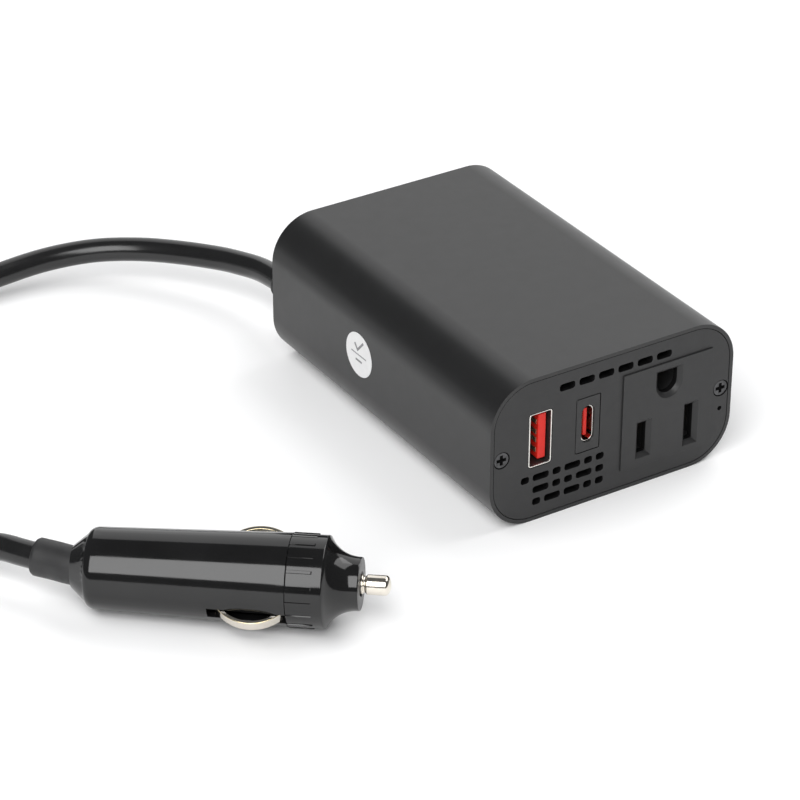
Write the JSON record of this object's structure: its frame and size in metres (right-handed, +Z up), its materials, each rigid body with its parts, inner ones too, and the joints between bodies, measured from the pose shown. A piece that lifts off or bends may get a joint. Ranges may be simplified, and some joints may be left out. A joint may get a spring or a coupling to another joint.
{
  "type": "power inverter",
  "caption": "Pocket power inverter: black extruded sleeve, socket panel with mains outlet and USB ports, and a 12 V lead ending in a lighter-socket plug.",
  "frame": {"origin": "middle of the sleeve's underside, on the surface it stands on", "axes": "+X to the right seen from the socket panel, -Y out of the socket panel, +Z up"},
  "size_m": [0.2146, 0.1736, 0.0357],
  "materials": {
    "sleeve": "matt black anodised aluminium extrusion, fine bead-blast grain",
    "panel": "matt black moulded plastic",
    "screw": "black oxide steel, slightly bright on the cross recess",
    "label": "white paper with a clear film",
    "lamp": "translucent green light guide",
    "port_steel": "pressed nickel-plated steel",
    "port_red": "red moulded insulator",
    "gold": "thin gold plating",
    "brass": "bright sprung brass",
    "board": "green solder mask",
    "sheet": "translucent insulating film",
    "black_part": "black moulding compound",
    "ferrite": "dark grey sintered ferrite",
    "tape": "yellow polyester tape",
    "choke": "painted powder core",
    "copper": "enamelled copper wire",
    "can": "dark blue sleeve with a bare top",
    "aluminium": "raw extruded aluminium",
    "pad": "grey thermal pad",
    "fuse_red": "translucent coloured plastic on tinned blades",
    "wire_red": "soft red insulation",
    "wire_black": "soft black insulation",
    "cord": "satin black PVC jacket",
    "relief": "matt black soft moulding",
    "plug_black": "polished black moulding",
    "plug_inner": "dark grey moulding",
    "spring": "bright spring wire",
    "fibre": "red-brown fibre",
    "nickel": "nickel plate, warm in tone",
    "fuse_glass": "clear glass"
  },
  "bodies": {
    "inverter": {"housing_sleeve": "sleeve", "front_panel": "panel", "rear_panel": "panel", "front_screws": "screw", "rear_screws": "screw", "inspection_sticker": "label", "status_led": "lamp", "usb_a_shell": "port_steel", "usb_a_tongue": "port_red", "usb_a_contacts": "gold", "usb_c_bezel": "panel", "usb_c_shell": "port_steel", "usb_c_tongue": "port_red", "usb_c_contacts": "gold", "usb_board": "board", "usb_board_parts": "black_part", "board_header": "black_part", "outlet_carrier": "black_part", "line_contact": "brass", "neutral_contact": "brass", "ground_contact": "brass", "main_board": "board", "insulating_sheet": "sheet", "transformer_core": "ferrite", "transformer_winding": "tape", "transformer_bobbin": "black_part", "choke_core": "choke", "choke_winding": "copper", "input_capacitors": "can", "output_capacitor": "can", "heat_sink": "aluminium", "power_transistors": "black_part", "transistor_pads": "pad", "transistor_screws": "port_steel", "board_fuse": "fuse_red", "control_chips": "black_part", "red_wire": "wire_red", "black_wire": "wire_black", "fan_frame": "black_part", "fan_stator": "copper", "fan_screws": "screw", "cord_gland": "relief", "cord_lead": "cord", "cord_coil": "cord", "cord_tail": "cord", "coil_tie": "relief", "plug_strain_relief": "relief", "plug_handle": "plug_black", "fuse_sleeve": "plug_inner", "fuse_terminal": "brass", "tip_spring": "spring"},
    "fan": {"fan_rotor": "black_part"},
    "tip_carrier": {"tip_washer": "fibre"},
    "nose_cap": {"nose_cap": "plug_black"},
    "centre_contact": {"plug_tip": "nickel", "fuse_caps": "nickel", "fuse_glass": "fuse_glass"},
    "near_contact": {"side_contact_near": "nickel"},
    "far_contact": {"side_contact_far": "nickel"}
  },
  "joints": [
    {"name": "fan_spin", "type": "hinge", "parent": "inverter", "child": "fan", "pos_m": [0.004, 0.0384, 0.01785], "axis": [0, 1, 0], "continuous": true},
    {"name": "near_contact_press", "type": "slide", "parent": "inverter", "child": "near_contact", "axis": [0.5825, 0.7001, 0.413], "range_m": [0, 0.0017], "stiffness_N_per_m": 900, "springref_m": -0.001},
    {"name": "far_contact_press", "type": "slide", "parent": "inverter", "child": "far_contact", "axis": [-0.5825, -0.7001, -0.413], "range_m": [0, 0.0017], "stiffness_N_per_m": 900, "springref_m": -0.001},
    {"name": "cap_travel", "type": "slide", "parent": "inverter", "child": "tip_carrier", "axis": [0.7613, -0.6479, 0.0244], "range_m": [0, 0.005]},
    {"name": "cap_turn", "type": "hinge", "parent": "tip_carrier", "child": "nose_cap", "pos_m": [-0.08068, -0.05346, 0.00998], "axis": [0.7613, -0.6479, 0.0244], "range_deg": [0, 1445]},
    {"name": "tip_press", "type": "slide", "parent": "tip_carrier", "child": "centre_contact", "axis": [0.7613, -0.6479, 0.0244], "range_m": [-0.003, 0], "stiffness_N_per_m": 600, "springref_m": 0.0015, "deforming": ["tip_spring"]}
  ],
  "couplings": [
    {"joint": "cap_turn", "follows": "cap_travel", "rad_per_m": 5026.5}
  ]
}
